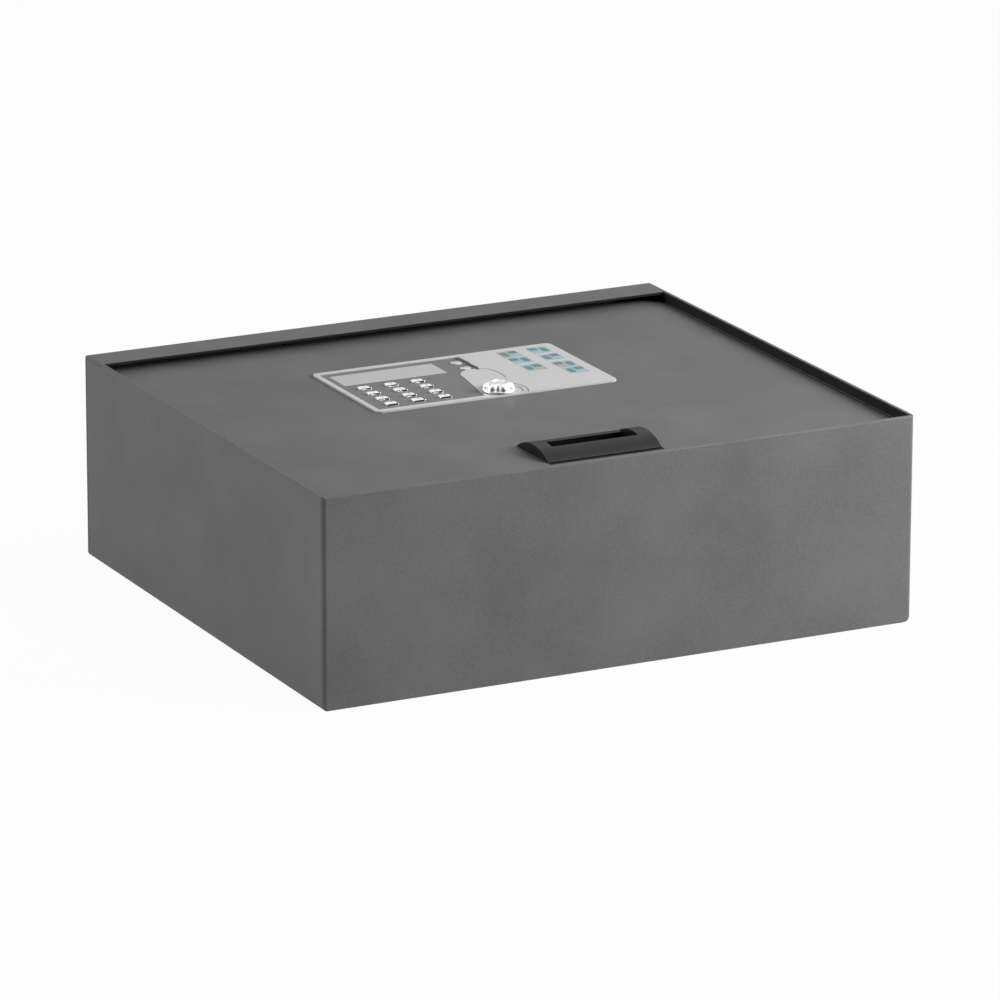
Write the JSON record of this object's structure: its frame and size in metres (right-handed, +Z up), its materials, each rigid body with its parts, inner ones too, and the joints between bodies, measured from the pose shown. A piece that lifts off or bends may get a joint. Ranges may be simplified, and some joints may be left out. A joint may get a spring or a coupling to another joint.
{
  "type": "top-opening safe",
  "caption": "Low steel safe whose lid lifts at the front on hidden rear hinges, with a keypad, a turning knob that throws the lock bolts, and an arched pull handle.",
  "frame": {"origin": "centre of the base's underside, where the safe rests", "axes": "+X to the right seen from the front, +Y to the rear hinges, +Z up"},
  "size_m": [0.4, 0.35, 0.132],
  "materials": {
    "powder_coat": "fine textured dark grey",
    "zinc_steel": "zinc plated",
    "chrome": "polished",
    "silver_fascia": "silver satin",
    "grey_overlay": "satin film",
    "display_window": "smoked clear",
    "black_plastic": "semi-gloss moulded",
    "white_plastic": "moulded acetal",
    "rubber": "soft",
    "felt": "needled felt",
    "board_green": "solder mask",
    "brass": "turned",
    "battery_wrap": "printed film, plain",
    "wire_red": "insulation"
  },
  "bodies": {
    "body": {"body_shell": "powder_coat", "front_panel": "powder_coat", "rear_panel": "powder_coat", "front_ledge": "powder_coat", "left_ledge": "powder_coat", "right_ledge": "powder_coat", "lid_buffers": "rubber", "dust_seal": "rubber", "floor_mat": "felt", "left_hinge_bracket": "zinc_steel", "right_hinge_bracket": "zinc_steel", "hinge_pins": "zinc_steel"},
    "lid": {"lid_plate": "powder_coat", "left_hinge_leaf": "zinc_steel", "right_hinge_leaf": "zinc_steel", "fascia": "silver_fascia", "keypad_overlay": "grey_overlay", "display_window": "display_window", "display_module": "black_plastic", "keypad_housing": "black_plastic", "housing_screws": "zinc_steel", "keypad_membrane": "rubber", "circuit_board": "board_green", "pull_handle": "black_plastic", "handle_screws": "zinc_steel", "lock_cover": "powder_coat", "cover_posts": "zinc_steel", "cover_screws": "zinc_steel", "spindle_bush": "brass", "bolt_guides": "zinc_steel", "rack_guide": "white_plastic", "lock_solenoid": "zinc_steel", "battery_holder": "black_plastic", "battery_contacts": "zinc_steel", "batteries": "battery_wrap", "wire_loom": "wire_red"},
    "knob_set": {"knob": "chrome", "knob_cap": "chrome", "knob_spindle": "zinc_steel", "pinion": "brass"},
    "bolts": {"bolt_carriage": "zinc_steel", "lock_bolts": "zinc_steel"},
    "plunger": {"solenoid_plunger": "zinc_steel"},
    "battery_door": {"battery_door": "powder_coat"},
    "key_1": {"key_1": "chrome"},
    "key_2": {"key_2": "chrome"},
    "key_3": {"key_3": "chrome"},
    "key_4": {"key_4": "chrome"},
    "key_5": {"key_5": "chrome"},
    "key_6": {"key_6": "chrome"},
    "key_7": {"key_7": "chrome"},
    "key_8": {"key_8": "chrome"},
    "key_9": {"key_9": "chrome"},
    "key_star": {"key_star": "chrome"},
    "key_0": {"key_0": "chrome"},
    "key_hash": {"key_hash": "chrome"},
    "upper_function_key": {"upper_function_key": "silver_fascia"},
    "lower_function_key": {"lower_function_key": "silver_fascia"}
  },
  "joints": [
    {"name": "lid_hinge", "type": "hinge", "parent": "body", "child": "lid", "pos_m": [0, 0.14, 0.116], "axis": [-1, 0, 0], "range_deg": [0, 88]},
    {"name": "knob_turn", "type": "hinge", "parent": "lid", "child": "knob_set", "pos_m": [0.0058, 0.005, 0.1264], "axis": [0, 0, -1], "range_deg": [0, 90]},
    {"name": "bolt_throw", "type": "slide", "parent": "lid", "child": "bolts", "axis": [0, -1, 0], "range_m": [0, 0.01414]},
    {"name": "plunger_stroke", "type": "slide", "parent": "lid", "child": "plunger", "axis": [-1, 0, 0], "range_m": [0, 0.0035]},
    {"name": "battery_door_slide", "type": "slide", "parent": "lid", "child": "battery_door", "axis": [1, 0, 0], "range_m": [0, 0.058]},
    {"name": "key_1_press", "type": "slide", "parent": "lid", "child": "key_1", "axis": [0, 0, -1], "range_m": [0, 0.001], "stiffness_N_per_m": 300},
    {"name": "key_2_press", "type": "slide", "parent": "lid", "child": "key_2", "axis": [0, 0, -1], "range_m": [0, 0.001], "stiffness_N_per_m": 300},
    {"name": "key_3_press", "type": "slide", "parent": "lid", "child": "key_3", "axis": [0, 0, -1], "range_m": [0, 0.001], "stiffness_N_per_m": 300},
    {"name": "key_4_press", "type": "slide", "parent": "lid", "child": "key_4", "axis": [0, 0, -1], "range_m": [0, 0.001], "stiffness_N_per_m": 300},
    {"name": "key_5_press", "type": "slide", "parent": "lid", "child": "key_5", "axis": [0, 0, -1], "range_m": [0, 0.001], "stiffness_N_per_m": 300},
    {"name": "key_6_press", "type": "slide", "parent": "lid", "child": "key_6", "axis": [0, 0, -1], "range_m": [0, 0.001], "stiffness_N_per_m": 300},
    {"name": "key_7_press", "type": "slide", "parent": "lid", "child": "key_7", "axis": [0, 0, -1], "range_m": [0, 0.001], "stiffness_N_per_m": 300},
    {"name": "key_8_press", "type": "slide", "parent": "lid", "child": "key_8", "axis": [0, 0, -1], "range_m": [0, 0.001], "stiffness_N_per_m": 300},
    {"name": "key_9_press", "type": "slide", "parent": "lid", "child": "key_9", "axis": [0, 0, -1], "range_m": [0, 0.001], "stiffness_N_per_m": 300},
    {"name": "key_star_press", "type": "slide", "parent": "lid", "child": "key_star", "axis": [0, 0, -1], "range_m": [0, 0.001], "stiffness_N_per_m": 300},
    {"name": "key_0_press", "type": "slide", "parent": "lid", "child": "key_0", "axis": [0, 0, -1], "range_m": [0, 0.001], "stiffness_N_per_m": 300},
    {"name": "key_hash_press", "type": "slide", "parent": "lid", "child": "key_hash", "axis": [0, 0, -1], "range_m": [0, 0.001], "stiffness_N_per_m": 300},
    {"name": "upper_function_key_press", "type": "slide", "parent": "lid", "child": "upper_function_key", "axis": [0, 0, -1], "range_m": [0, 0.001], "stiffness_N_per_m": 300},
    {"name": "lower_function_key_press", "type": "slide", "parent": "lid", "child": "lower_function_key", "axis": [0, 0, -1], "range_m": [0, 0.001], "stiffness_N_per_m": 300}
  ],
  "couplings": [
    {"joint": "knob_turn", "follows": "bolt_throw", "rad_per_m": 111.11}
  ]
}
